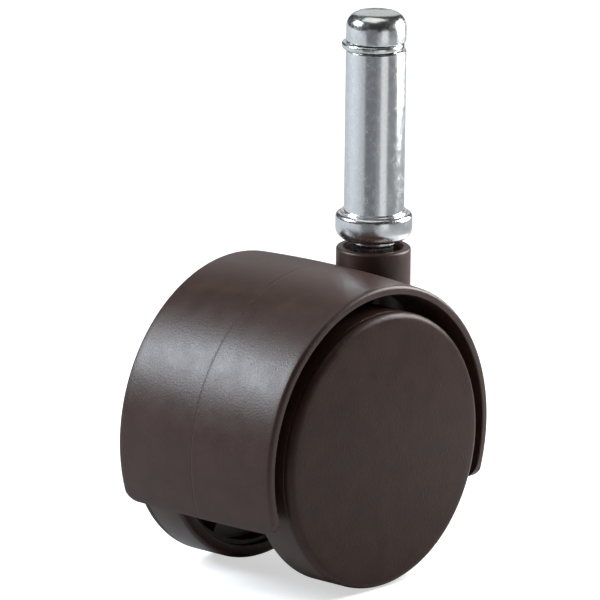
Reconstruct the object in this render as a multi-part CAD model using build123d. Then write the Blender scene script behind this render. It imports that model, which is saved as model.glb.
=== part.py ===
from build123d import *
import os

# A hooded twin-wheel caster for furniture, on a grip-ring stem.
# Millimetres. The origin is on the swivel axis, on the stem's shoulder, with the stem along +Z.
# The wheels trail towards -X and turn about an axle along Y. The left wheel is at +Y.

# ------------------------------------------------------------------ driving dimensions

# Wheels, which are a moulded body with a face cap snapped into its outer side.
wheel_diameter = 50.0
wheel_width = 9.45             # inner face to the edge of the outer face
wheel_spacing = 20.0           # between the inner faces of the two wheels
wheel_protrusion = 1.35        # how far a wheel's face stands out of the hood
tread_edge_round = 0.8
rim_wall = 2.4
wheel_web_thickness = 1.6
wheel_web_setback = 0.6        # web's outer face inside the hub's outer end
hub_wall = 2.6
wheel_rib_count = 6
wheel_rib_thickness = 1.5
wheel_rib_setback = 1.0        # ribs' edges inside the wheel's inner face
cap_thickness = 1.75           # at its edge
cap_crown = 0.5                # how far the face bulges in the middle
cap_edge_round = 1.3
cap_spigot_depth = 1.6
cap_spigot_wall = 1.2
cap_fit = 0.03                 # radial gap of the spigot in the rim

# Axle, pressed into the housing, with a clip in a groove near each end.
axle_diameter = 6.0
axle_bearing_gap = 0.05        # radial, wheel on axle
axle_press_gap = 0.01          # radial, axle in housing
axle_end_gap = 0.4             # axle's end to the face cap
axle_tail = 0.8                # axle beyond a clip
axle_end_chamfer = 0.4
clip_thickness = 0.7
clip_width = 1.9               # radial
clip_mouth = 4.2
clip_groove_depth = 0.5
clip_fit = 0.05
washer_thickness = 0.6
washer_width = 2.0             # radial
running_gap = 0.15             # axial, between what turns and what stands

# Housing: a hood over both wheels, a web between them, the axle's boss and the stem's socket.
lead = 18.0                    # swivel axis to axle
hood_top_drop = 7.3            # shoulder to the top of the hood
hood_wall = 1.6                # at the rims
hood_crown = 0.6               # the hood's middle is this much further out than its rims
hood_tread_gap = 2.6           # radial, between the hood and the wheels
hood_skirt_drop = 11.0         # hood's centre to its bottom edges
hood_corner_round = 3.0
hood_rim_round = 0.7
hood_rise = 0.4                # hood's centre above the axle
web_thickness = 3.0
web_skirt_setback = 3.0        # web's bottom edge above the hood's
boss_wall = 2.8
gusset_thickness = 1.8
gusset_half_depth = 5.5
gusset_angles = (60.0, 110.0, 160.0)
neck_top_drop = 6.7            # shoulder to the top of the neck
neck_rim_wall = 1.7
neck_edge_round = 0.45
recess_gap = 1.0               # radial, round the stem's step
recess_depth = 3.6
socket_floor = 2.2

# Stem: a plated steel pin with a collar, a grip ring in its head and a shank in the socket.
stem_diameter = 10.8
stem_length = 36.5             # shoulder to tip
stem_tip_round = 2.5
stem_tip_crown = 0.3
grip_groove_height = 1.5
grip_groove_centre = 30.3      # above the shoulder
grip_groove_depth = 1.4
grip_edge_round = 0.25
shoulder_width = 0.55          # flat seat around the pin
shoulder_step = 0.35
collar_overhang = 1.5
collar_height = 5.2
collar_top_round = 0.9
collar_bottom_round = 2.0
stem_step_overhang = 0.4
stem_step_drop = 6.0           # shoulder to the bottom of the step
shank_diameter = 7.2
shank_drop = 34.5              # shoulder to the shank's end
shank_end_round = 1.6
shank_bearing_gap = 0.05       # radial, shank in socket

# Grip ring: a split spring ring that floats sideways in its groove.
grip_ring_height = 1.2
grip_ring_thickness = 0.85
grip_ring_proud = 0.2          # beyond the pin all round, when it lies centred
grip_ring_float = 0.55         # sideways, from centred to as it lies
grip_ring_float_angle = 132.0  # direction of the float, from +X
grip_ring_split = 2.0
grip_ring_split_angle = -62.0
grip_ring_round = 0.35

# Retaining ring, which holds the shank in the socket, and the disc that the shank bears on.
retainer_drop = 28.0           # shoulder to the ring's middle
retainer_thickness = 0.9
retainer_groove_depth = 0.8
retainer_reach = 0.5           # beyond the shank
retainer_mouth = 3.6
retainer_fit = 0.05
retainer_play = 0.3            # round the ring, in the socket's groove
thrust_disc_thickness = 1.0
thrust_gap = 0.1

# ------------------------------------------------------------------ worked out from them

wheel_radius = wheel_diameter / 2
wheel_body_width = wheel_width - cap_thickness
rim_inner_radius = wheel_radius - rim_wall
axle_radius = axle_diameter / 2
hub_bore_radius = axle_radius + axle_bearing_gap
hub_radius = hub_bore_radius + hub_wall
axle_end = wheel_body_width - axle_end_gap             # from a wheel's inner face, as are these
clip_outer_face = axle_end - axle_tail
clip_inner_face = clip_outer_face - clip_thickness
hub_length = clip_inner_face - running_gap
wheel_web_outer = hub_length - wheel_web_setback
wheel_web_inner = wheel_web_outer - wheel_web_thickness

wheel_inner_face = wheel_spacing / 2
axle_half_length = wheel_inner_face + axle_end
boss_half_length = wheel_inner_face - running_gap - washer_thickness
boss_radius = axle_radius + boss_wall

hood_inner_radius = wheel_radius + hood_tread_gap
hood_rim_radius = hood_inner_radius + hood_wall
hood_top_radius = hood_rim_radius + hood_crown
hood_half_width = wheel_inner_face + wheel_width - wheel_protrusion
hood_centre_drop = hood_top_drop + hood_top_radius
axle_drop = hood_centre_drop + hood_rise

stem_radius = stem_diameter / 2
shank_radius = shank_diameter / 2
stem_step_radius = shank_radius + stem_step_overhang
collar_radius = stem_radius + collar_overhang
grip_groove_radius = stem_radius - grip_groove_depth
grip_ring_outer = stem_radius + grip_ring_proud
recess_radius = stem_step_radius + recess_gap
neck_radius = recess_radius + neck_rim_wall
socket_bore_radius = shank_radius + shank_bearing_gap
bore_bottom_drop = shank_drop + thrust_gap + thrust_disc_thickness
socket_bottom_drop = bore_bottom_drop + socket_floor

axle_place = Pos(-lead, 0, -axle_drop)
hood_place = Pos(-lead, 0, -hood_centre_drop)


# ------------------------------------------------------------------ shared shapes

def round_corner(outline, corner, radius):
    """Rounds the corner of a flat outline that lies nearest to a point."""
    nearest = outline.vertices().sort_by_distance(corner)[0]
    return fillet(nearest, radius)


def turned_about_y(outline):
    """Turns an outline of (radius, along Y) points about the Y axis."""
    return revolve(outline, Axis.Y, 360)


def turned_about_z(outline):
    """Turns an outline of (radius, height) points about the Z axis."""
    return revolve(Plane.XZ * outline, Axis.Z, 360)


def along_y(radius, start, end):
    """A cylinder on the Y axis, between two places on it."""
    return Pos(0, (start + end) / 2, 0) * Rot(90, 0, 0) * Cylinder(radius, end - start)


def along_z(radius, bottom, top):
    """A cylinder on the Z axis, between two heights."""
    return Pos(0, 0, (bottom + top) / 2) * Cylinder(radius, top - bottom)


def split_ring(inner_radius, outer_radius, height, mouth):
    """A flat ring about Z, centred on the origin, with a mouth cut through its +X side."""
    ring = Cylinder(outer_radius, height) - Cylinder(inner_radius, height)
    return ring - Pos(outer_radius / 2, 0, 0) * Box(outer_radius + 1, mouth, height + 1)


# ------------------------------------------------------------------ wheels and axle

def make_wheel():
    """The left wheel's body, on the Y axis: rim, web, hub, a middle ring and ribs."""
    inner = wheel_inner_face
    outer = inner + wheel_body_width
    web_inner = inner + wheel_web_inner
    web_outer = inner + wheel_web_outer
    hub_outer = inner + hub_length
    outline = make_face(Polyline(
        (hub_bore_radius, inner),
        (hub_radius, inner),
        (hub_radius, web_inner),
        (rim_inner_radius, web_inner),
        (rim_inner_radius, inner),
        (wheel_radius, inner),
        (wheel_radius, outer),
        (rim_inner_radius, outer),
        (rim_inner_radius, web_outer),
        (hub_radius, web_outer),
        (hub_radius, hub_outer),
        (hub_bore_radius, hub_outer),
        close=True,
    ))
    outline = round_corner(outline, (wheel_radius, inner), tread_edge_round)
    wheel = turned_about_y(outline)

    rib_start = inner + wheel_rib_setback
    middle_radius = (hub_radius + rim_inner_radius) / 2
    middle_ring = along_y(middle_radius + wheel_rib_thickness / 2, rib_start, web_outer)
    middle_ring -= along_y(middle_radius - wheel_rib_thickness / 2, rib_start, web_outer)
    wheel += middle_ring

    # Each rib reaches a little way into the hub and into the rim.
    rib_length = rim_inner_radius - hub_radius + rim_wall / 2 + hub_wall / 2
    rib_centre = (rim_inner_radius + rim_wall / 2 + hub_radius - hub_wall / 2) / 2
    for n in range(wheel_rib_count):
        rib = Box(rib_length, web_outer - rib_start, wheel_rib_thickness)
        rib = Pos(rib_centre, (rib_start + web_outer) / 2, 0) * rib
        wheel += Rot(0, 360 * n / wheel_rib_count, 0) * rib
    return wheel


def make_cap():
    """The left wheel's face cap: a domed disc with a spigot that enters the rim."""
    seat = wheel_inner_face + wheel_body_width
    face = wheel_inner_face + wheel_width
    flat_edge = wheel_radius - cap_edge_round
    spigot_outer = rim_inner_radius - cap_fit
    spigot_inner = spigot_outer - cap_spigot_wall
    spigot_end = seat - cap_spigot_depth
    # The dome is an arc from the middle to the start of the edge round.
    half = flat_edge / 2
    dome = ThreePointArc((0, face + cap_crown), (half, face + cap_crown * 0.75), (flat_edge, face))
    edge = CenterArc((flat_edge, face - cap_edge_round), cap_edge_round, 0, 90)
    back = Polyline(
        (wheel_radius, face - cap_edge_round),
        (wheel_radius, seat),
        (spigot_outer, seat),
        (spigot_outer, spigot_end),
        (spigot_inner, spigot_end),
        (spigot_inner, seat),
        (0, seat),
        (0, face + cap_crown),
    )
    return turned_about_y(make_face(dome + edge + back))


def make_axle():
    """The axle on the Y axis, with a clip groove near each end."""
    axle = along_y(axle_radius, -axle_half_length, axle_half_length)
    axle = chamfer(axle.edges(), axle_end_chamfer)
    for side in (-1, 1):
        near = side * (wheel_inner_face + clip_inner_face - clip_fit)
        far = side * (wheel_inner_face + clip_outer_face + clip_fit)
        start, end = min(near, far), max(near, far)
        groove = along_y(axle_radius + 1, start, end)
        groove -= along_y(axle_radius - clip_groove_depth, start, end)
        axle -= groove
    return axle


def make_clip():
    """The left axle clip, which sits in the axle's groove outside the hub."""
    inner = axle_radius - clip_groove_depth + clip_fit
    clip = split_ring(inner, inner + clip_width, clip_thickness, clip_mouth)
    middle = wheel_inner_face + (clip_inner_face + clip_outer_face) / 2
    return Pos(0, middle, 0) * Rot(90, 0, 0) * clip


def make_washer():
    """The left washer, between the housing's boss and the wheel's hub."""
    inner = axle_radius + axle_bearing_gap
    outer_face = boss_half_length + washer_thickness
    washer = along_y(inner + washer_width, boss_half_length, outer_face)
    return washer - along_y(inner, boss_half_length, outer_face)


# ------------------------------------------------------------------ housing

def make_hood():
    """The hood on the Y axis: a crowned shell of revolution with a flat, round-cornered skirt."""
    crown = ThreePointArc(
        (hood_rim_radius, -hood_half_width), (hood_top_radius, 0), (hood_rim_radius, hood_half_width)
    )
    inside = Polyline(
        (hood_rim_radius, hood_half_width),
        (hood_inner_radius, hood_half_width),
        (hood_inner_radius, -hood_half_width),
        (hood_rim_radius, -hood_half_width),
    )
    outline = make_face(crown + inside)
    for side in (-1, 1):
        outline = round_corner(outline, (hood_rim_radius, side * hood_half_width), hood_rim_round)
    hood = turned_about_y(outline)

    # What is kept, seen along X, is open past the rims above its two rounded corners.
    clear = 1.0
    top = hood_top_radius + clear
    corner_top = hood_corner_round - hood_skirt_drop
    corner_centre = hood_half_width - hood_corner_round
    kept = (
        CenterArc((corner_centre, corner_top), hood_corner_round, 270, 90)
        + Polyline(
            (hood_half_width, corner_top),
            (hood_half_width + clear, corner_top),
            (hood_half_width + clear, top),
            (-hood_half_width - clear, top),
            (-hood_half_width - clear, corner_top),
            (-hood_half_width, corner_top),
        )
        + CenterArc((-corner_centre, corner_top), hood_corner_round, 180, 90)
        + Line((-corner_centre, -hood_skirt_drop), (corner_centre, -hood_skirt_drop))
    )
    return hood & extrude(Plane.YZ * make_face(kept), top, both=True)


def make_web():
    """The web, its gussets and the axle's boss, with the hood's centre at the origin."""
    # The web and gussets run into the middle of the hood's wall.
    reach = hood_inner_radius + hood_wall / 2
    bottom = hood_skirt_drop - web_skirt_setback
    web = along_y(reach, -web_thickness / 2, web_thickness / 2)
    web &= Pos(0, 0, reach - bottom) * Box(2 * reach, web_thickness, 2 * reach)
    for angle in gusset_angles:
        gusset = Pos(reach / 2, 0, 0) * Box(reach, 2 * gusset_half_depth, gusset_thickness)
        web += Rot(0, -angle, 0) * gusset
    return web + Pos(0, 0, -hood_rise) * along_y(boss_radius, -boss_half_length, boss_half_length)


def make_socket():
    """The stem's socket with the neck at its top, before it is bored."""
    outline = make_face(Polyline(
        (0, -socket_bottom_drop),
        (neck_radius, -socket_bottom_drop),
        (neck_radius, -neck_top_drop),
        (0, -neck_top_drop),
        close=True,
    ))
    outline = round_corner(outline, (neck_radius, -neck_top_drop), neck_edge_round)
    return turned_about_z(outline)


def make_socket_bore():
    """What is cut from the socket: the recess, the bore and the retaining ring's groove."""
    recess_bottom = -neck_top_drop - recess_depth
    bore = along_z(recess_radius, recess_bottom, 0)
    bore += along_z(socket_bore_radius, -bore_bottom_drop, recess_bottom)
    groove_half = retainer_thickness / 2 + retainer_play
    groove_radius = shank_radius + retainer_reach + retainer_play
    return bore + along_z(groove_radius, -retainer_drop - groove_half, -retainer_drop + groove_half)


def make_housing():
    """The housing, one moulding."""
    body = hood_place * (make_hood() + make_web())
    body += make_socket()
    body -= make_socket_bore()
    bore = along_y(axle_radius + axle_press_gap, -boss_half_length, boss_half_length)
    return body - axle_place * bore


# ------------------------------------------------------------------ stem and what goes with it

def make_stem():
    """The stem: pin with a domed tip and a ring groove, collar, step and shank."""
    groove_bottom = grip_groove_centre - grip_groove_height / 2
    groove_top = grip_groove_centre + grip_groove_height / 2
    ledge_radius = stem_radius + shoulder_width
    tip_flat = stem_radius - stem_tip_round
    tip_edge = stem_length - stem_tip_crown
    retainer_low = -retainer_drop - retainer_thickness / 2 - retainer_fit
    retainer_high = -retainer_drop + retainer_thickness / 2 + retainer_fit
    retainer_radius = shank_radius - retainer_groove_depth
    tip = ThreePointArc(
        (0, stem_length), (tip_flat / 2, stem_length - stem_tip_crown / 4), (tip_flat, tip_edge)
    )
    tip_round = CenterArc((tip_flat, tip_edge - stem_tip_round), stem_tip_round, 0, 90)
    sides = Polyline(
        (stem_radius, tip_edge - stem_tip_round),
        (stem_radius, groove_top),
        (grip_groove_radius, groove_top),
        (grip_groove_radius, groove_bottom),
        (stem_radius, groove_bottom),
        (stem_radius, 0),
        (ledge_radius, 0),
        (ledge_radius, -shoulder_step),
        (collar_radius, -shoulder_step),
        (collar_radius, -collar_height),
        (stem_step_radius, -collar_height),
        (stem_step_radius, -stem_step_drop),
        (shank_radius, -stem_step_drop - stem_step_overhang),
        (shank_radius, retainer_high),
        (retainer_radius, retainer_high),
        (retainer_radius, retainer_low),
        (shank_radius, retainer_low),
        (shank_radius, -shank_drop),
        (0, -shank_drop),
        (0, stem_length),
    )
    outline = make_face(tip + tip_round + sides)
    outline = round_corner(outline, (stem_radius, groove_top), grip_edge_round)
    outline = round_corner(outline, (stem_radius, groove_bottom), grip_edge_round)
    outline = round_corner(outline, (collar_radius, -shoulder_step), collar_top_round)
    outline = round_corner(outline, (collar_radius, -collar_height), collar_bottom_round)
    outline = round_corner(outline, (shank_radius, -shank_drop), shank_end_round)
    return turned_about_z(outline)


def make_grip_ring():
    """The grip ring, lying to one side in its groove."""
    ring = split_ring(
        grip_ring_outer - grip_ring_thickness, grip_ring_outer, grip_ring_height, grip_ring_split
    )
    ring = Rot(0, 0, grip_ring_split_angle) * ring
    outer_edges = ring.edges().filter_by(GeomType.CIRCLE).group_by(SortBy.RADIUS)[-1]
    ring = fillet(outer_edges, grip_ring_round)
    float_offset = Vector(grip_ring_float, 0, 0).rotate(Axis.Z, grip_ring_float_angle)
    return Pos(*float_offset) * Pos(0, 0, grip_groove_centre) * ring


def make_retaining_ring():
    """The ring in the shank's groove that holds the stem in its socket."""
    inner = shank_radius - retainer_groove_depth + retainer_fit
    ring = split_ring(inner, shank_radius + retainer_reach, retainer_thickness, retainer_mouth)
    return Pos(0, 0, -retainer_drop) * ring


def make_thrust_disc():
    """The hardened disc on the socket's floor."""
    return along_z(shank_radius, -bore_bottom_drop, -bore_bottom_drop + thrust_disc_thickness)


# ------------------------------------------------------------------ parts

parts = {
    "housing": make_housing(),
    "stem": make_stem(),
    "grip_ring": make_grip_ring(),
    "stem_retaining_ring": make_retaining_ring(),
    "stem_thrust_disc": make_thrust_disc(),
    "axle": axle_place * make_axle(),
}
for name, left in (
    ("wheel", make_wheel()),
    ("wheel_cap", make_cap()),
    ("axle_clip", make_clip()),
    ("axle_washer", make_washer()),
):
    parts[name + "_left"] = axle_place * left
    parts[name + "_right"] = axle_place * mirror(left, about=Plane.XZ)

os.makedirs("parts", exist_ok=True)
for name, shape in parts.items():
    shape.label = name
    export_step(shape, "parts/" + name + ".step")
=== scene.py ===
# %% [markdown]
# # A hooded twin-wheel chair caster
#
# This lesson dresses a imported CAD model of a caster: a moulded plastic housing over two closed
# wheels, on a zinc-plated steel stem with a loose grip ring. The CAD model stays as a fixed frame.
# Each visible piece is modelled again in its place as a clean mesh with rounded edges, and rides
# on the CAD body that it belongs to, so it swivels and rolls with it.

# %% Load the frame
from math import atan2, cos, degrees, hypot, pi, radians, sin

import bmesh
import bpy
from mathutils import Matrix, Vector


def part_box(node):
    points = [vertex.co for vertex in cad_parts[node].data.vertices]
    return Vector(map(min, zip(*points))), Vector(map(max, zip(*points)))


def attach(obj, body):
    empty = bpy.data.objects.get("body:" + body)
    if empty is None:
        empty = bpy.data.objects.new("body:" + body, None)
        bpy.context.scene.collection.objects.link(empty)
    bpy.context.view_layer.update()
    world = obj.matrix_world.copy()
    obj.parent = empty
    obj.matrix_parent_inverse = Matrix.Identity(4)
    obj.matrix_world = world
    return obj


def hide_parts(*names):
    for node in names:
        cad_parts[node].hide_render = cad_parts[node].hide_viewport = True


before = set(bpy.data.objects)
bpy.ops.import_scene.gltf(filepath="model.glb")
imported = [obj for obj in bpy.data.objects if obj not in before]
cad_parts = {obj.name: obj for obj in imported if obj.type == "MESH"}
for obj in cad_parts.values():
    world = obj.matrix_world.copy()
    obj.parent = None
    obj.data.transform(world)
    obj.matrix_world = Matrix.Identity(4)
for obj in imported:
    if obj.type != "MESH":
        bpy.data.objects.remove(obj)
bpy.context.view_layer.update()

# %% [markdown]
# ## Sizes
#
# The big sizes are read from the CAD nodes, so the looks follow the frame. The modelling is done in
# millimetres, which are easy to read for something this small, and each finished mesh is scaled to
# metres at the end.

# %% Read the main sizes from the frame
MM = 0.001


def box_mm(node):
    """A node's lowest and highest corner, in millimetres."""
    low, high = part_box(node)
    return low / MM, high / MM


wheel_low, wheel_high = box_mm("wheel_left")
cap_low, cap_high = box_mm("wheel_cap_left")
housing_high = box_mm("housing")[1]
stem_low, stem_high = box_mm("stem")
ring_low, ring_high = box_mm("grip_ring")

axle_centre = (wheel_low + wheel_high) / 2
axle_centre.y = 0.0
wheel_radius = (wheel_high.z - wheel_low.z) / 2
wheel_inner_face = wheel_low.y
wheel_seam = wheel_high.y
wheel_crown_face = cap_high.y
hood_half_width = housing_high.y
floor_height = wheel_low.z
print("axle at", [round(v, 2) for v in axle_centre], "wheel radius", round(wheel_radius, 2))
print("wheel from", round(wheel_inner_face, 2), "to", round(wheel_crown_face, 2), "mm out")

# %% [markdown]
# ## Turned shapes
#
# Almost every piece of a caster is round: the stem comes off a lathe, and the wheels and the hood
# are moulded in round tools. So one way of working makes them all. A flat outline is drawn as one
# face, its corners are rounded with a vertex bevel, and the outline is spun about an axis.

# %% Draw an outline and round its corners
ROUND_STEPS = 6


def draw_outline(bm, points):
    """One flat face in the X-Z plane from (radius, height) points; a third number rounds one."""
    corners = [bm.verts.new((point[0], 0.0, point[1])) for point in points]
    bm.faces.new(corners)
    for corner, point in zip(corners, points):
        if len(point) == 3:
            bmesh.ops.bevel(
                bm, geom=[corner], offset=point[2], offset_type="OFFSET", segments=ROUND_STEPS,
                profile=0.5, affect="VERTICES", material=-1,
            )


# %% Spin an outline about the Z axis
WELD = 0.0005


def spin_outline(points, steps):
    """A closed bmesh: the outline turned all the way round the Z axis."""
    bm = bmesh.new()
    draw_outline(bm, points)
    bmesh.ops.delete(bm, geom=bm.faces[:], context="FACES_ONLY")
    bmesh.ops.spin(
        bm, geom=bm.verts[:] + bm.edges[:], cent=(0, 0, 0), axis=(0, 0, 1),
        angle=2 * pi, steps=steps, use_merge=True, use_duplicate=False,
    )
    bmesh.ops.remove_doubles(bm, verts=bm.verts[:], dist=WELD)
    bmesh.ops.dissolve_degenerate(bm, edges=bm.edges[:], dist=WELD)
    bmesh.ops.recalc_face_normals(bm, faces=bm.faces[:])
    return bm


def lay_along_y(bm, side):
    """Turns a shape from the Z axis to the Y axis: side 1 points it to +Y, side -1 to -Y."""
    turn = Matrix.Rotation(radians(-90 * side), 3, "X")
    bmesh.ops.rotate(bm, verts=bm.verts[:], cent=(0, 0, 0), matrix=turn)


def move(bm, offset):
    bmesh.ops.translate(bm, verts=bm.verts[:], vec=offset)


# %% Turn a bmesh into a finished piece
SHARP_ANGLE = radians(32)


def to_mesh(bm, name):
    """A mesh in metres with smooth faces, and sharp edges only where the shape has a corner."""
    bmesh.ops.remove_doubles(bm, verts=bm.verts[:], dist=WELD)
    bmesh.ops.recalc_face_normals(bm, faces=bm.faces[:])
    bmesh.ops.scale(bm, verts=bm.verts[:], vec=(MM, MM, MM))
    for face in bm.faces:
        face.smooth = True
    for edge in bm.edges:
        edge.smooth = len(edge.link_faces) == 2 and edge.calc_face_angle() < SHARP_ANGLE
    mesh = bpy.data.meshes.new(name)
    bm.to_mesh(mesh)
    bm.free()
    return mesh


def edge_uses(mesh):
    """How many faces use each edge: two everywhere on a closed mesh."""
    uses = {}
    for polygon in mesh.polygons:
        for key in polygon.edge_keys:
            uses[key] = uses.get(key, 0) + 1
    return uses


def place(name, mesh, material):
    """An object at the origin, in the scene, with one material."""
    mesh.materials.append(material)
    placed = bpy.data.objects.new(name, mesh)
    bpy.context.scene.collection.objects.link(placed)
    return placed


def add_piece(name, bm, material, body, node):
    """A piece that stands for one CAD node and moves with its body."""
    mesh = to_mesh(bm, name)
    piece = place(name, mesh, material)
    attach(piece, body)
    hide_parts(node)
    open_edges = sum(1 for count in edge_uses(mesh).values() if count != 2)
    print(name, "faces", len(mesh.polygons), "open edges", open_edges)


# %% [markdown]
# ## Patterns that the finishes share
#
# Moulded plastic is never one flat colour. The tool's spark-eroded surface leaves a fine grain,
# and the melt leaves cloudy patches. Plated steel has clouds too, with streaks along the drawn
# bar. Both patterns are node groups that read Object coordinates, so they stick to the piece as it
# moves.

# %% Helpers for node trees
def add_node(tree, kind, **settings):
    node = tree.nodes.new(kind)
    for key, value in settings.items():
        setattr(node, key, value)
    return node


FLOAT = "NodeSocketFloat"


def new_group(name, inputs, outputs):
    """An empty group with float inputs {name: default} and float outputs [name]."""
    group = bpy.data.node_groups.new(name, "ShaderNodeTree")
    for socket_name, default in inputs.items():
        socket = group.interface.new_socket(socket_name, in_out="INPUT", socket_type=FLOAT)
        socket.default_value = default
    for socket_name in outputs:
        group.interface.new_socket(socket_name, in_out="OUTPUT", socket_type=FLOAT)
    return group, add_node(group, "NodeGroupInput"), add_node(group, "NodeGroupOutput")


def noise(tree, vector, scale, detail, roughness=0.5):
    node = add_node(tree, "ShaderNodeTexNoise")
    node.inputs["Scale"].default_value = scale
    node.inputs["Detail"].default_value = detail
    node.inputs["Roughness"].default_value = roughness
    tree.links.new(vector, node.inputs["Vector"])
    return node


def ranged(tree, value, low, high, new_low, new_high):
    """Stretches the part of a value between low and high to a new range, and clamps the rest."""
    node = add_node(tree, "ShaderNodeMapRange", clamp=True)
    for name, number in (
        ("From Min", low), ("From Max", high), ("To Min", new_low), ("To Max", new_high)
    ):
        node.inputs[name].default_value = number
    tree.links.new(value, node.inputs["Value"])
    return node.outputs["Result"]


def put_out(group, result, name, pattern, low, high):
    """Gives a group's output the part of a noise between low and high, as a mask."""
    mask = ranged(group, pattern.outputs["Fac"], low, high, 0.0, 1.0)
    group.links.new(mask, result.inputs[name])


# %% The moulded grain: fine grain, cloudy patches and a few raised flecks
def build_moulded_grain():
    group, given, result = new_group(
        "moulded_grain", {"Grain Scale": 2600.0, "Cloud Scale": 240.0}, ["Grain", "Cloud", "Fleck"]
    )
    spot = add_node(group, "ShaderNodeTexCoord").outputs["Object"]
    grain = noise(group, spot, 1.0, 3.0, 0.6)
    group.links.new(given.outputs["Grain Scale"], grain.inputs["Scale"])
    cloud = noise(group, spot, 1.0, 4.0, 0.55)
    group.links.new(given.outputs["Cloud Scale"], cloud.inputs["Scale"])
    fleck = noise(group, spot, 1400.0, 1.0)
    put_out(group, result, "Grain", grain, 0.30, 0.70)
    put_out(group, result, "Cloud", cloud, 0.32, 0.68)
    put_out(group, result, "Fleck", fleck, 0.64, 0.74)
    return group


moulded_grain = build_moulded_grain()


# %% The plated bar: clouds, fine mottle and streaks along the length
def build_plated_bar():
    group, given, result = new_group(
        "plated_bar", {"Streak Scale": 900.0}, ["Cloud", "Mottle", "Streak"]
    )
    spot = add_node(group, "ShaderNodeTexCoord").outputs["Object"]
    stretch = add_node(group, "ShaderNodeMapping")
    stretch.inputs["Scale"].default_value = (1.0, 1.0, 0.04)
    group.links.new(spot, stretch.inputs["Vector"])
    cloud = noise(group, spot, 900.0, 3.0, 0.6)
    mottle = noise(group, spot, 2400.0, 3.0, 0.6)
    streak = noise(group, stretch.outputs["Vector"], 1.0, 2.0)
    group.links.new(given.outputs["Streak Scale"], streak.inputs["Scale"])
    for name, pattern in (("Cloud", cloud), ("Mottle", mottle), ("Streak", streak)):
        put_out(group, result, name, pattern, 0.35, 0.65)
    return group


plated_bar = build_plated_bar()
print("shared patterns:", [group.name for group in bpy.data.node_groups])


# %% [markdown]
# ## Finishes
#
# The plastic is dark brown with a satin gloss. Its grain breaks up the highlight, which a smooth
# shader would make look wet. The zinc plate is a metal whose roughness changes in clouds, so that a
# reflection is sharp in one place and milky in the next.

# %% Helpers for materials
def new_material(name, view_color):
    material = bpy.data.materials.new(name)
    material.use_nodes = True
    material.diffuse_color = (*view_color, 1.0)
    tree = material.node_tree
    return material, tree, tree.nodes["Principled BSDF"]


def two_colours(tree, mask, low, high):
    """A colour that goes from low to high with a mask."""
    mix = add_node(tree, "ShaderNodeMix", data_type="RGBA")
    mix.inputs["A"].default_value = (*low, 1.0)
    mix.inputs["B"].default_value = (*high, 1.0)
    tree.links.new(mask, mix.inputs["Factor"])
    return mix.outputs["Result"]


def added(tree, first, second, share):
    """First plus share times second."""
    node = add_node(tree, "ShaderNodeMath", operation="MULTIPLY_ADD")
    node.inputs[1].default_value = share
    tree.links.new(second, node.inputs[0])
    tree.links.new(first, node.inputs[2])
    return node.outputs[0]


def dress(tree, shader, colour, rough, normal):
    """Links what varies over a surface to its shader."""
    for value, name in ((colour, "Base Color"), (rough, "Roughness"), (normal, "Normal")):
        tree.links.new(value, shader.inputs[name])


def bump(tree, height, distance_mm, strength):
    node = add_node(tree, "ShaderNodeBump")
    node.inputs["Distance"].default_value = distance_mm * MM
    node.inputs["Strength"].default_value = strength
    tree.links.new(height, node.inputs["Height"])
    return node.outputs["Normal"]


# %% Brown moulded plastic
def brown_plastic(name, dark, light, rough, grain_scale, grain_depth, specular):
    """A satin plastic between two browns and two roughnesses, with a moulded grain."""
    material, tree, shader = new_material(name, light)
    pattern = add_node(tree, "ShaderNodeGroup", node_tree=moulded_grain)
    pattern.inputs["Grain Scale"].default_value = grain_scale
    grain, cloud, fleck = (pattern.outputs[key] for key in ("Grain", "Cloud", "Fleck"))
    dress(
        tree, shader,
        two_colours(tree, cloud, dark, light),
        ranged(tree, added(tree, cloud, grain, 0.6), 0.2, 1.4, *rough),
        bump(tree, added(tree, grain, fleck, 0.8), grain_depth, 0.6),
    )
    shader.inputs["Specular IOR Level"].default_value = specular
    return material


housing_finish = brown_plastic(
    "housing_plastic", dark=(0.033, 0.0148, 0.0106), light=(0.044, 0.0205, 0.0150),
    rough=(0.37, 0.44), grain_scale=3000.0, grain_depth=0.018, specular=0.37,
)
wheel_finish = brown_plastic(
    "wheel_plastic", dark=(0.036, 0.0165, 0.0118), light=(0.046, 0.0210, 0.0155),
    rough=(0.34, 0.42), grain_scale=2400.0, grain_depth=0.022, specular=0.36,
)
cap_finish = brown_plastic(
    "cap_plastic", dark=(0.027, 0.0134, 0.0100), light=(0.037, 0.0180, 0.0136),
    rough=(0.32, 0.44), grain_scale=2400.0, grain_depth=0.030, specular=0.16,
)
print("plastics:", housing_finish.name, wheel_finish.name, cap_finish.name)


# %% Steel finishes
def steel(name, dark, light, rough, streak_scale, relief):
    """A metal between two greys and two roughnesses, with the marks of a drawn bar."""
    material, tree, shader = new_material(name, light)
    pattern = add_node(tree, "ShaderNodeGroup", node_tree=plated_bar)
    pattern.inputs["Streak Scale"].default_value = streak_scale
    cloud, mottle, streak = (pattern.outputs[key] for key in ("Cloud", "Mottle", "Streak"))
    dress(
        tree, shader,
        two_colours(tree, cloud, dark, light),
        ranged(tree, added(tree, cloud, mottle, 0.5), 0.2, 1.3, *rough),
        bump(tree, added(tree, streak, mottle, 0.5), relief, 0.5),
    )
    shader.inputs["Metallic"].default_value = 1.0
    return material


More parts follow.
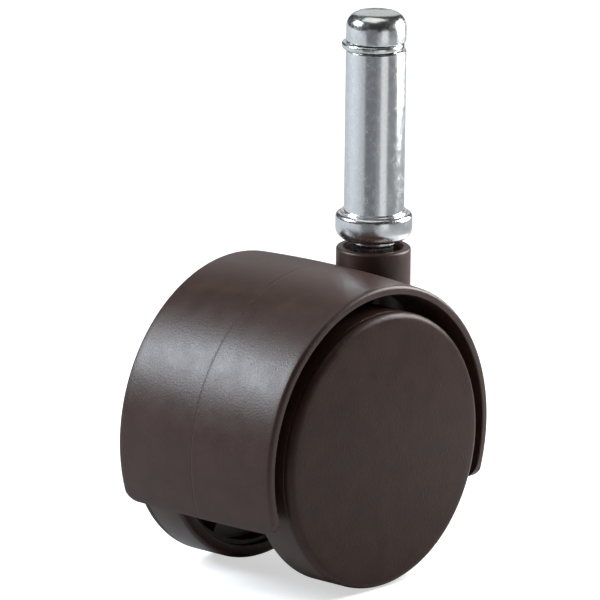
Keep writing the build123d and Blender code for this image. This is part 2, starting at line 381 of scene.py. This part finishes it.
zinc_finish = steel(
    "zinc_plate", dark=(0.56, 0.568, 0.572), light=(0.67, 0.676, 0.677),
    rough=(0.17, 0.28), streak_scale=900.0, relief=0.006,
)
ring_finish = steel(
    "ring_plate", dark=(0.50, 0.53, 0.51), light=(0.66, 0.69, 0.66),
    rough=(0.16, 0.30), streak_scale=900.0, relief=0.006,
)
spring_finish = steel(
    "spring_steel", dark=(0.20, 0.20, 0.22), light=(0.34, 0.35, 0.37),
    rough=(0.25, 0.40), streak_scale=700.0, relief=0.010,
)
ground_finish = steel(
    "ground_steel", dark=(0.40, 0.40, 0.41), light=(0.55, 0.55, 0.56),
    rough=(0.15, 0.28), streak_scale=500.0, relief=0.008,
)
print("steels:", zinc_finish.name, ring_finish.name, spring_finish.name, ground_finish.name)


# %% [markdown]
# ## The stem
#
# The stem is one turned steel pin. It has a domed tip, a groove for the grip ring, a rounded collar
# that the chair leg rests on, and under the collar a small step and the shank that goes into the
# housing. All of it is one outline, spun once.

# %% Turn the stem
pin_radius = 5.4
tip_round = 2.5
tip_crown = 0.3
groove_radius = 4.0
groove_low, groove_high = 29.55, 31.05
ledge_radius = 5.95
ledge_step = 0.35
collar_radius = stem_high.x
collar_drop = 5.2
step_radius, step_drop = 4.0, 6.0
shank_radius = 3.6
shank_round = 1.6
retainer_radius, retainer_middle, retainer_half = 2.8, -28.0, 0.5
collar_round_low, collar_round_high = 2.0, 0.9
ledge_round = 0.12
step_round = 0.15
groove_round, groove_lip_round = 0.10, 0.25
STEM_STEPS = 128
TIP_RINGS = 6
tip_flat = pin_radius - tip_round
tip_edge = stem_high.z - tip_crown


def crown_points(start_radius, edge_height, crown, count):
    """Points of a shallow dome from near its rim to its middle."""
    outs = [1 - n / count for n in range(1, count + 1)]
    return [(start_radius * out, edge_height + crown * (1 - out ** 2)) for out in outs]


stem_outline = [
    (0.0, stem_low.z),
    (shank_radius, stem_low.z, shank_round),
    (shank_radius, retainer_middle - retainer_half),
    (retainer_radius, retainer_middle - retainer_half),
    (retainer_radius, retainer_middle + retainer_half),
    (shank_radius, retainer_middle + retainer_half),
    (shank_radius, -step_drop - (step_radius - shank_radius)),
    (step_radius, -step_drop, step_round),
    (step_radius, -collar_drop, step_round),
    (collar_radius, -collar_drop, collar_round_low),
    (collar_radius, -ledge_step, collar_round_high),
    (ledge_radius, -ledge_step, ledge_round),
    (ledge_radius, 0.0, ledge_round),
    (pin_radius, 0.0, groove_round),
    (pin_radius, groove_low, groove_lip_round),
    (groove_radius, groove_low, groove_round),
    (groove_radius, groove_high, groove_round),
    (pin_radius, groove_high, groove_lip_round),
    (pin_radius, tip_edge, tip_round),
    *crown_points(tip_flat, tip_edge, tip_crown, TIP_RINGS),
]
stem = spin_outline(stem_outline, STEM_STEPS)
add_piece("stem_turned", stem, zinc_finish, "stem_body", "stem")

# %% [markdown]
# ## The grip ring
#
# The grip ring is a short piece of spring strip, bent round and left open. It lies loose in its
# groove and leans to one side. Here a small rounded section is spun a little less than a full turn,
# which leaves the mouth open and both ends closed.

# %% Bend the grip ring
ring_centre = (ring_low + ring_high) / 2
ring_outer = (ring_high.x - ring_low.x) / 2
ring_width = 0.85
ring_inner = ring_outer - ring_width
ring_half_height = (ring_high.z - ring_low.z) / 2
ring_mouth = 2.0
ring_mouth_angle = -62.0
ring_round_in, ring_round_out = 0.15, 0.42
RING_STEPS = 110

mouth_half_angle = ring_mouth / 2 / ring_outer
bm = bmesh.new()
draw_outline(bm, [
    (ring_inner, -ring_half_height, ring_round_in),
    (ring_outer, -ring_half_height, ring_round_out),
    (ring_outer, ring_half_height, ring_round_out),
    (ring_inner, ring_half_height, ring_round_in),
])
start = Matrix.Rotation(radians(ring_mouth_angle) + mouth_half_angle, 3, "Z")
bmesh.ops.rotate(bm, verts=bm.verts[:], cent=(0, 0, 0), matrix=start)
bmesh.ops.spin(
    bm, geom=bm.verts[:] + bm.edges[:] + bm.faces[:], cent=(0, 0, 0), axis=(0, 0, 1),
    angle=2 * pi - 2 * mouth_half_angle, steps=RING_STEPS, use_merge=False, use_duplicate=False,
)
move(bm, ring_centre)
add_piece("grip_ring_bent", bm, ring_finish, "ring_body", "grip_ring")
print("grip ring leans", round(hypot(ring_centre.x, ring_centre.y), 2), "mm towards",
      round(degrees(atan2(ring_centre.y, ring_centre.x))), "degrees")

# %% [markdown]
# ## The housing
#
# The housing is one moulding: a hood over both wheels, a web between them, and the socket that the
# stem enters. The hood is spun from a thin crowned section, with the fine groove where the two
# halves of the mould met. Its skirt is then cut flat, and each corner of the skirt is whittled
# round with a few plane cuts, each a little flatter than the last.

# %% Spin the hood
hood_rise = 0.4
hood_wall = 1.6
hood_crown = 0.6
hood_gap = 2.6
hood_inner_radius = wheel_radius + hood_gap
hood_rim_radius = hood_inner_radius + hood_wall
hood_centre = axle_centre + Vector((0, 0, hood_rise))
skirt_drop = 11.0
skirt_corner = 3.0
parting_half_width = 0.08
parting_depth = 0.014
parting_margin = 0.3
hood_round_in, hood_round_out = 0.25, 0.7
SPIN_STEPS = 160


def hood_radius(along):
    """The hood's outer radius, which swells from its rims to its middle."""
    return hood_rim_radius + hood_crown * (1 - (along / hood_half_width) ** 2)


def parting_line(side):
    """From the crown into the groove, on one side of it."""
    return [
        (hood_radius(0), side * (parting_half_width + parting_margin)),
        (hood_radius(0), side * parting_half_width),
        (hood_radius(0) - parting_depth, side * parting_half_width / 2),
    ]


CROWN_STATIONS = 12
stations = [hood_half_width * n / CROWN_STATIONS for n in range(CROWN_STATIONS - 1, 0, -1)]
above = [(hood_radius(along), along) for along in stations] + parting_line(1)
below = [(hood_radius(along), -along) for along in stations] + parting_line(-1)
hood_outline = [
    (hood_inner_radius, -hood_half_width, hood_round_in),
    (hood_inner_radius, hood_half_width, hood_round_in),
    (hood_rim_radius, hood_half_width, hood_round_out),
    *above, *reversed(below),
    (hood_rim_radius, -hood_half_width, hood_round_out),
]
hood = spin_outline(hood_outline, SPIN_STEPS)
lay_along_y(hood, 1)
print("hood spun with", len(hood.faces), "faces")


# %% Cut the skirt and whittle its corners
def slice_off(bm, point, outward):
    """Cuts away what lies beyond a plane and closes the cut."""
    bmesh.ops.bisect_plane(
        bm, geom=bm.verts[:] + bm.edges[:] + bm.faces[:], dist=WELD / 10,
        plane_co=point, plane_no=outward, clear_outer=True,
    )
    open_edges = [e for e in bm.edges if len(e.link_faces) == 1]
    bmesh.ops.holes_fill(bm, edges=open_edges)


slice_off(hood, (0, 0, -skirt_drop), (0, 0, -1))
CORNER_CUTS = 8
for side in (-1, 1):
    corner = Vector((0, side * (hood_half_width - skirt_corner), skirt_corner - skirt_drop))
    for n in range(1, CORNER_CUTS):
        turn = radians(90 * n / CORNER_CUTS)
        outward = Vector((0, side * cos(turn), -sin(turn)))
        slice_off(hood, corner + skirt_corner * outward, outward)
print("hood cut, faces", len(hood.faces))

# %% Soften the skirt's cut edges
SKIRT_SOFTENING = 0.22
CUT_ANGLE = radians(50)
skirt_top = -skirt_drop + skirt_corner * 0.8
cut_edges = [
    edge for edge in hood.edges
    if len(edge.link_faces) == 2
    and edge.calc_face_angle() > CUT_ANGLE
    and max(vert.co.z for vert in edge.verts) < skirt_top
]
bmesh.ops.bevel(
    hood, geom=cut_edges, offset=SKIRT_SOFTENING, offset_type="OFFSET", segments=3, profile=0.5,
    affect="EDGES", clamp_overlap=True, material=-1,
)
print("softened", len(cut_edges), "edges of the skirt")

# %% [markdown]
# The web, the gussets, the axle's boss and the socket are simple solids that run into the hood's
# wall. They are joined to it with Boolean unions, and the bores are cut last, so that nothing fills
# them again.

# %% Helpers for solids and Booleans
def to_object(bm, name):
    """A bmesh as a plain object in millimetres, for a Boolean."""
    bmesh.ops.recalc_face_normals(bm, faces=bm.faces[:])
    mesh = bpy.data.meshes.new(name)
    bm.to_mesh(mesh)
    bm.free()
    shape = bpy.data.objects.new(name, mesh)
    bpy.context.scene.collection.objects.link(shape)
    return shape


def combine(shape, tool, operation):
    """Joins a tool to a shape, or cuts it out, and removes the tool."""
    step = shape.modifiers.new(operation, "BOOLEAN")
    step.operation = operation
    step.solver = "EXACT"
    step.object = tool
    evaluated = shape.evaluated_get(bpy.context.evaluated_depsgraph_get())
    mesh = bpy.data.meshes.new_from_object(evaluated)
    shape.modifiers.clear()
    shape.data = mesh
    bpy.data.objects.remove(tool)


def rod_along_y(radius, half_length, segments):
    bm = bmesh.new()
    bmesh.ops.create_cone(
        bm, cap_ends=True, cap_tris=False, segments=segments, radius1=radius, radius2=radius,
        depth=2 * half_length,
    )
    lay_along_y(bm, 1)
    return bm


def block(size, centre):
    bm = bmesh.new()
    bmesh.ops.create_cube(bm, size=1.0)
    bmesh.ops.scale(bm, verts=bm.verts[:], vec=size)
    move(bm, centre)
    return bm


# %% Join the inside of the housing to the hood
web_thickness = 3.0
web_drop = 8.0
boss_radius = 5.8
boss_half_length = 9.25
gusset_half_depth = 5.5
gusset_thickness = 1.8
gusset_angles = (60.0, 110.0, 160.0)
neck_radius = 6.7
neck_top = -6.7
neck_round = 0.5
socket_bottom = -37.8
socket_round = 0.4
reach = hood_inner_radius + hood_wall / 2
BOSS_STEPS = 72
SOCKET_STEPS = 96

move(hood, hood_centre)
housing = to_object(hood, "housing_moulding")

web = rod_along_y(reach, web_thickness / 2, SPIN_STEPS)
slice_off(web, (0, 0, -web_drop), (0, 0, -1))
move(web, hood_centre)
combine(housing, to_object(web, "web"), "UNION")
for angle in gusset_angles:
    gusset = block((reach, 2 * gusset_half_depth, gusset_thickness), (reach / 2, 0, 0))
    turn = Matrix.Rotation(radians(-angle), 3, "Y")
    bmesh.ops.rotate(gusset, verts=gusset.verts[:], cent=(0, 0, 0), matrix=turn)
    move(gusset, hood_centre)
    combine(housing, to_object(gusset, "gusset"), "UNION")
boss = rod_along_y(boss_radius, boss_half_length, BOSS_STEPS)
move(boss, axle_centre)
combine(housing, to_object(boss, "boss"), "UNION")
socket = spin_outline([
    (0.0, socket_bottom),
    (neck_radius, socket_bottom, socket_round),
    (neck_radius, neck_top, neck_round),
    (0.0, neck_top),
], SOCKET_STEPS)
combine(housing, to_object(socket, "socket"), "UNION")
print("housing joined, faces", len(housing.data.polygons))

# %% Cut the bores
recess_radius = 5.0
recess_floor = -10.3
mouth_chamfer = 0.45
bore_radius = 3.65
bore_floor = -35.6
axle_bore_radius = 3.01
AXLE_BORE_STEPS = 64
CLEAR = 1.0

bore = spin_outline([
    (0.0, bore_floor),
    (bore_radius, bore_floor),
    (bore_radius, recess_floor),
    (recess_radius, recess_floor),
    (recess_radius, neck_top - mouth_chamfer),
    (recess_radius + mouth_chamfer, neck_top),
    (recess_radius + mouth_chamfer, neck_top + CLEAR),
    (0.0, neck_top + CLEAR),
], SOCKET_STEPS)
combine(housing, to_object(bore, "socket_bore"), "DIFFERENCE")
axle_bore = rod_along_y(axle_bore_radius, boss_half_length + CLEAR, AXLE_BORE_STEPS)
move(axle_bore, axle_centre)
combine(housing, to_object(axle_bore, "axle_bore"), "DIFFERENCE")

bm = bmesh.new()
bm.from_mesh(housing.data)
bpy.data.objects.remove(housing)
add_piece("housing_moulded", bm, housing_finish, "swivel_body", "housing")

# %% [markdown]
# ## The wheels
#
# Each wheel is a moulded body whose inner side is hollow to save plastic, with ribs between hub and
# rim. The body's outline is spun first, with a flat ring where the ribs' edges will be. The pockets
# are then pressed into that ring: one sector at a time is inset by half a rib and pushed inwards.

# %% Mould a wheel body
rim_wall = 2.4
rim_inner_radius = wheel_radius - rim_wall
hub_radius = 5.65
hub_bore = 3.05
wheel_depth = wheel_seam - wheel_inner_face
web_outer, web_inner = 5.05, 3.45
hub_end = 5.65
rib_setback = 1.0
rib_thickness = 1.5
rib_count = 6
hub_round_in, hub_round_out = 0.25, 0.2
rim_round, tread_round, seam_round = 0.3, 0.8, 0.12
middle_ring = (hub_radius + rim_inner_radius) / 2
WHEEL_STEPS = 144


def wheel_body(side):
    """A wheel body on the Y axis, open to its inner side. Side 1 is the left wheel."""
    bm = spin_outline([
        (hub_bore, 0.0, hub_round_in),
        (hub_radius, 0.0, hub_round_in),
        (hub_radius, rib_setback),
        (middle_ring, rib_setback),
        (rim_inner_radius, rib_setback),
        (rim_inner_radius, 0.0, rim_round),
        (wheel_radius, 0.0, tread_round),
        (wheel_radius, wheel_depth, seam_round),
        (rim_inner_radius, wheel_depth),
        (rim_inner_radius, web_outer),
        (hub_radius, web_outer),
        (hub_radius, hub_end, hub_round_out),
        (hub_bore, hub_end, hub_round_out),
    ], WHEEL_STEPS)
    for low, high in ((hub_radius, middle_ring), (middle_ring, rim_inner_radius)):
        press_pockets(bm, low, high)
    move(bm, (0, 0, wheel_inner_face))
    lay_along_y(bm, side)
    move(bm, axle_centre)
    return bm


def press_pockets(bm, low, high):
    """Presses one pocket for each gap between ribs into the flat ring between two radii."""
    def in_ring(face):
        centre = face.calc_center_median()
        flat = all(abs(vert.co.z - rib_setback) < WELD for vert in face.verts)
        return flat and low < hypot(centre.x, centre.y) < high

    sector = 2 * pi / rib_count
    sectors = {n: [] for n in range(rib_count)}
    for face in filter(in_ring, bm.faces):
        centre = face.calc_center_median()
        sectors[int((atan2(centre.y, centre.x) % (2 * pi)) // sector)].append(face)
    for faces in sectors.values():
        bmesh.ops.inset_region(
            bm, faces=faces, thickness=rib_thickness / 2, depth=0.0,
            use_boundary=True, use_even_offset=True,
        )
        pushed = bmesh.ops.extrude_face_region(bm, geom=faces)
        moved = [item for item in pushed["geom"] if isinstance(item, bmesh.types.BMVert)]
        bmesh.ops.translate(bm, verts=moved, vec=(0, 0, web_inner - rib_setback))
        bmesh.ops.delete(bm, geom=faces, context="FACES_ONLY")


for side, word in ((1, "left"), (-1, "right")):
    add_piece(
        "wheel_moulded_" + word, wheel_body(side), wheel_finish,
        word + "_wheel_body", "wheel_" + word,
    )

# %% [markdown]
# ## The face caps
#
# A cap closes the outer side of each wheel. It is a slightly domed disc with a rounded edge, and a
# spigot behind it that snaps into the rim. Both edges of the seam are rounded a little, so the
# joint shows as a fine groove in the tread.

# %% Mould a face cap
cap_edge_round = 1.3
cap_crown = 0.5
cap_face = wheel_crown_face - cap_crown
spigot_slack = 0.03
spigot_wall = 1.2
spigot_round = 0.2
spigot_outer = rim_inner_radius - spigot_slack
spigot_inner = spigot_outer - spigot_wall
spigot_end = cap_low.y
CAP_RINGS = 16


def face_cap(side):
    """A cap on the Y axis. Side 1 is the left wheel's."""
    bm = spin_outline([
        (0.0, wheel_seam),
        (spigot_inner, wheel_seam),
        (spigot_inner, spigot_end),
        (spigot_outer, spigot_end, spigot_round),
        (spigot_outer, wheel_seam),
        (wheel_radius, wheel_seam, seam_round),
        (wheel_radius, cap_face, cap_edge_round),
        *crown_points(wheel_radius - cap_edge_round, cap_face, cap_crown, CAP_RINGS),
    ], WHEEL_STEPS)
    lay_along_y(bm, side)
    move(bm, axle_centre)
    return bm


for side, word in ((1, "left"), (-1, "right")):
    add_piece(
        "face_cap_" + word, face_cap(side), cap_finish,
        word + "_wheel_body", "wheel_cap_" + word,
    )


# %% [markdown]
# ## The steel inside
#
# The axle, its clips, the retaining ring and the disc under the shank are simple shapes that hardly
# show, and their CAD meshes are right as they are. They only need their finishes, and so do the
# nylon washers.

# %% Natural nylon for the washers
def natural_nylon():
    material, tree, shader = new_material("natural_nylon", (0.70, 0.67, 0.58))
    pattern = add_node(tree, "ShaderNodeGroup", node_tree=moulded_grain)
    grain, cloud = pattern.outputs["Grain"], pattern.outputs["Cloud"]
    dress(
        tree, shader,
        two_colours(tree, cloud, (0.62, 0.59, 0.50), (0.72, 0.69, 0.61)),
        ranged(tree, grain, 0.0, 1.0, 0.38, 0.5),
        bump(tree, grain, 0.02, 0.5),
    )
    return material


# %% Give the inner CAD nodes their finishes
washer_finish = natural_nylon()
inner_finishes = {
    "axle": ground_finish,
    "axle_clip_left": spring_finish,
    "axle_clip_right": spring_finish,
    "axle_washer_left": washer_finish,
    "axle_washer_right": washer_finish,
    "stem_retaining_ring": spring_finish,
    "stem_thrust_disc": ground_finish,
}
for node, finish in inner_finishes.items():
    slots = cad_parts[node].data.materials
    slots.clear()
    slots.append(finish)
print("finished inner nodes:", len(inner_finishes))

# %% [markdown]
# ## Studio
#
# The caster stands on a plain pale floor. The camera is two and a half metres away with a very
# long lens, which keeps parallel edges almost parallel. A large soft light from the left gives
# the hood its wide, cool highlight, and one above lights the floor. A small one close to the
# right makes the wheel's face lighter towards that side. Two dim ones, in front and behind, and
# a grey card are there for the plated stem: polished metal only reads as metal when it has light
# and dark things to reflect.

# %% Lay the floor
FLOOR_SIZE = 12.0
FLOOR_GAP = 0.0002
FLOOR_GLOW = 0.58


def floor_material():
    """A matt pale floor that the camera sees a little brighter than the caster does."""
    material, tree, shader = new_material("pale_floor", (0.9, 0.9, 0.9))
    spot = add_node(tree, "ShaderNodeTexCoord").outputs["Object"]
    cloud = noise(tree, spot, 3.0, 2.0)
    colour = two_colours(tree, cloud.outputs["Fac"], (0.64, 0.64, 0.64), (0.68, 0.68, 0.68))
    tree.links.new(colour, shader.inputs["Base Color"])
    shader.inputs["Roughness"].default_value = 0.9
    shader.inputs["Specular IOR Level"].default_value = 0.1
    seen = add_node(tree, "ShaderNodeLightPath").outputs["Is Camera Ray"]
    glow = ranged(tree, seen, 0.0, 1.0, 0.0, FLOOR_GLOW)
    tree.links.new(glow, shader.inputs["Emission Strength"])
    shader.inputs["Emission Color"].default_value = (1.0, 1.0, 1.0, 1.0)
    return material


def stage_piece(name, bm, material):
    """A flat piece of the studio, in metres, that isn't part of the caster."""
    mesh = bpy.data.meshes.new(name)
    bm.to_mesh(mesh)
    bm.free()
    staged = place(name, mesh, material)
    return staged


bm = bmesh.new()
bmesh.ops.create_grid(bm, x_segments=1, y_segments=1, size=FLOOR_SIZE / 2)
move(bm, (0, 0, floor_height * MM - FLOOR_GAP))
stage_piece("floor", bm, floor_material())
print("floor", FLOOR_SIZE, "m wide, at", round(floor_height, 2), "mm")

# %% Aim the camera
view_azimuth = radians(-48.14)
view_elevation = radians(14.71)
view_roll = radians(0.71)
view_distance = 2.505
view_target = Vector((-0.01866, 0.00073, -0.01335))

back = Vector((
    sin(view_azimuth) * cos(view_elevation), -cos(view_azimuth) * cos(view_elevation),
    sin(view_elevation),
))
level_right = Vector((cos(view_azimuth), sin(view_azimuth), 0))
level_up = back.cross(level_right)
right = level_right * cos(view_roll) + level_up * sin(view_roll)
up = level_up * cos(view_roll) - level_right * sin(view_roll)

camera = bpy.data.objects.new("camera", bpy.data.cameras.new("camera"))
bpy.context.scene.collection.objects.link(camera)
camera.data.sensor_width = 36.0
camera.data.lens = 845.6
camera.data.clip_end = 50.0
camera.location = view_target + back * view_distance
camera.rotation_mode = "QUATERNION"
camera.rotation_quaternion = Matrix((right, up, back)).transposed().to_quaternion()
bpy.context.scene.camera = camera
print("camera at", [round(v, 3) for v in camera.location])


# %% Set the lights
def soft_light(name, direction, distance, size, power, colour=(1.0, 1.0, 1.0)):
    """A square area light that shines at the middle of the object from a direction."""
    data = bpy.data.lights.new(name, "AREA")
    data.shape = "SQUARE"
    data.size = size
    data.energy = power
    data.color = colour
    light = bpy.data.objects.new(name, data)
    bpy.context.scene.collection.objects.link(light)
    away = Vector(direction).normalized()
    light.location = view_target + away * distance
    light.rotation_mode = "QUATERNION"
    light.rotation_quaternion = away.to_track_quat("Z", "Y")
    light.visible_camera = False


from_left = right * -0.87 + up * 0.60 + back * 0.13
from_above = (0.0, 0.15, 1.0)
from_right = (0.90, -0.42, 0.42)
from_front = (-0.20, -0.97, 0.04)
from_behind = (-back.x, -back.y, 0.42)
cool_white = (0.84, 0.92, 1.0)
soft_light("left_softbox", from_left, distance=1.7, size=0.60, power=40.0, colour=cool_white)
soft_light("top_softbox", from_above, distance=1.8, size=1.4, power=8.0)
soft_light("right_softbox", from_right, distance=0.15, size=0.09, power=0.40)
soft_light("front_softbox", from_front, distance=0.30, size=0.14, power=0.05)
soft_light("back_softbox", from_behind, distance=1.8, size=1.1, power=2.8)
print("lights:", [light.name for light in bpy.data.lights])

# %% Fill the shadows a little from all around
world = bpy.data.worlds.new("studio")
bpy.context.scene.world = world
world.use_nodes = True
sky = world.node_tree.nodes["Background"]
sky.inputs["Color"].default_value = (1.0, 1.0, 1.0, 1.0)
sky.inputs["Strength"].default_value = 0.05
bpy.context.scene.view_settings.view_transform = "Standard"
print("light from all around:", round(sky.inputs["Strength"].default_value, 3))

# %% Stand a grey card in front of the stem
card_azimuth = radians(205.0)
card_distance = 0.22
card_width, card_height = 0.17, 0.14
card_grey = (0.28, 0.28, 0.30)

outward = Vector((cos(card_azimuth), sin(card_azimuth), 0))
bm = bmesh.new()
bmesh.ops.create_grid(bm, x_segments=1, y_segments=1, size=0.5)
bmesh.ops.scale(bm, verts=bm.verts[:], vec=(card_width, card_height, 1.0))
facing = outward.to_track_quat("Z", "Y").to_matrix()
bmesh.ops.rotate(bm, verts=bm.verts[:], cent=(0, 0, 0), matrix=facing)
move(bm, outward * card_distance + Vector((0, 0, floor_height * MM + card_height / 2)))
card_material, _, card_shader = new_material("grey_card", card_grey)
card_shader.inputs["Base Color"].default_value = (*card_grey, 1.0)
card_shader.inputs["Roughness"].default_value = 0.8
card = stage_piece("grey_card", bm, card_material)
card.visible_camera = False
card.visible_shadow = False
print("grey card", card_width, "by", card_height, "m,", card_distance, "m away")
